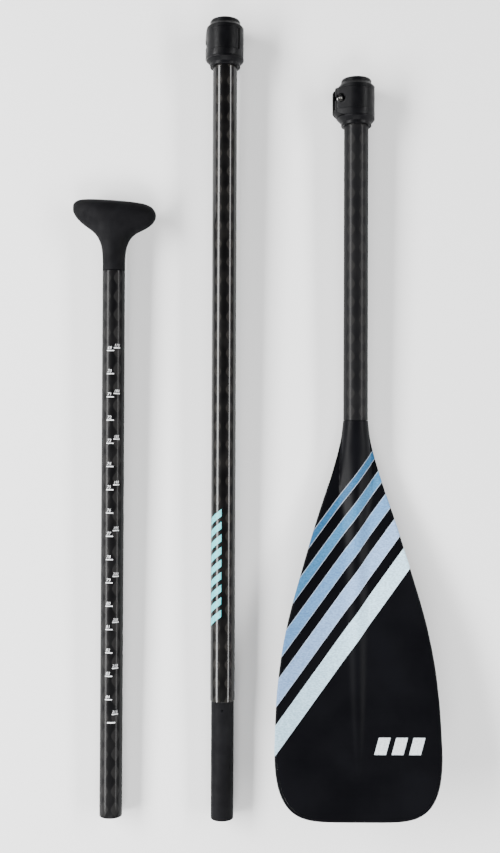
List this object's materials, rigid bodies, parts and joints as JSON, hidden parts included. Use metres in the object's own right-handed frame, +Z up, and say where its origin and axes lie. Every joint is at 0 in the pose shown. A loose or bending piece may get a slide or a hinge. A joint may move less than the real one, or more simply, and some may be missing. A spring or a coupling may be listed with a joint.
{
  "type": "single blade paddle",
  "caption": "Take-apart adjustable single blade paddle: T-grip handle shaft, middle shaft and bladed shaft laid side by side, with lever clamps that lock the telescoping tubes.",
  "frame": {"origin": "middle of the bounding box of the laid-out sections, at ground level", "axes": "+Y along the shafts towards the grip and the clamps, +X to the right towards the blade section, +Z up"},
  "size_m": [0.404, 0.8803, 0.0619],
  "materials": {
    "grip_rubber": "soft-touch matte black",
    "satin_carbon": "satin woven carbon laminate",
    "plug_foam": "matte closed-cell",
    "gloss_carbon": "clear-coated woven carbon laminate",
    "ferrule_carbon": "matte sanded laminate",
    "white_foam": "matte foam",
    "blade_laminate": "satin black laminate with pale diagonal stripes",
    "core_foam": "matte foam",
    "rail_plastic": "satin black",
    "clamp_plastic": "satin black moulded",
    "bush_plastic": "satin",
    "dark_steel": "blackened",
    "bright_steel": "bright"
  },
  "bodies": {
    "blade_section": {"blade_tube": "satin_carbon", "blade_hosel": "ferrule_carbon", "blade_shaft_plug": "white_foam", "blade_front_skin": "blade_laminate", "blade_back_skin": "blade_laminate", "blade_core": "core_foam", "blade_edge_rail": "rail_plastic", "blade_clamp_collar": "clamp_plastic", "blade_clamp_bush": "bush_plastic", "blade_clamp_barrel_pin": "dark_steel", "blade_clamp_lock_nut": "bright_steel"},
    "blade_lever": {"blade_clamp_lever": "clamp_plastic"},
    "blade_bolt": {"blade_clamp_tension_bolt": "bright_steel"},
    "ferrule_plug": {"ferrule_end_plug": "plug_foam"},
    "middle_section": {"mid_tube": "gloss_carbon", "ferrule": "ferrule_carbon", "mid_clamp_collar": "clamp_plastic", "mid_clamp_bush": "bush_plastic", "mid_clamp_barrel_pin": "dark_steel", "mid_clamp_lock_nut": "bright_steel"},
    "mid_lever": {"mid_clamp_lever": "clamp_plastic"},
    "mid_bolt": {"mid_clamp_tension_bolt": "bright_steel"},
    "handle_plug": {"handle_end_plug": "plug_foam"},
    "handle_section": {"palm_grip": "grip_rubber", "handle_tube": "satin_carbon"}
  },
  "joints": [
    {"name": "mid_align", "type": "slide", "parent": "blade_section", "child": "ferrule_plug", "axis": [0.133, 0.991, 0.0111], "range_m": [0, 1.09746]},
    {"name": "mid_insert", "type": "slide", "parent": "ferrule_plug", "child": "middle_section", "axis": [0, -0.9999, -0.0139], "range_m": [0, 0.4005]},
    {"name": "handle_align", "type": "slide", "parent": "middle_section", "child": "handle_plug", "axis": [0.0983, 0.9951, 0.0141], "range_m": [0, 1.24373]},
    {"name": "handle_insert", "type": "slide", "parent": "handle_plug", "child": "handle_section", "axis": [0, -0.9999, -0.0139], "range_m": [0, 0.55]},
    {"name": "blade_lever_hinge", "type": "hinge", "parent": "blade_section", "child": "blade_lever", "pos_m": [0.0936, 0.3518, 0.02899], "axis": [0, -0.9999, -0.0139], "range_deg": [0, 120]},
    {"name": "mid_lever_hinge", "type": "hinge", "parent": "middle_section", "child": "mid_lever", "pos_m": [-0.05067, 0.41633, 0.01317], "axis": [0, -0.9999, -0.0139], "range_deg": [0, 120]},
    {"name": "blade_bolt_turn", "type": "hinge", "parent": "blade_section", "child": "blade_bolt", "pos_m": [0.0936, 0.3518, 0.02899], "axis": [0, -0.0139, 0.9999], "continuous": true},
    {"name": "mid_bolt_turn", "type": "hinge", "parent": "middle_section", "child": "mid_bolt", "pos_m": [-0.05067, 0.41633, 0.01317], "axis": [-0.8387, -0.0076, 0.5446], "continuous": true}
  ]
}
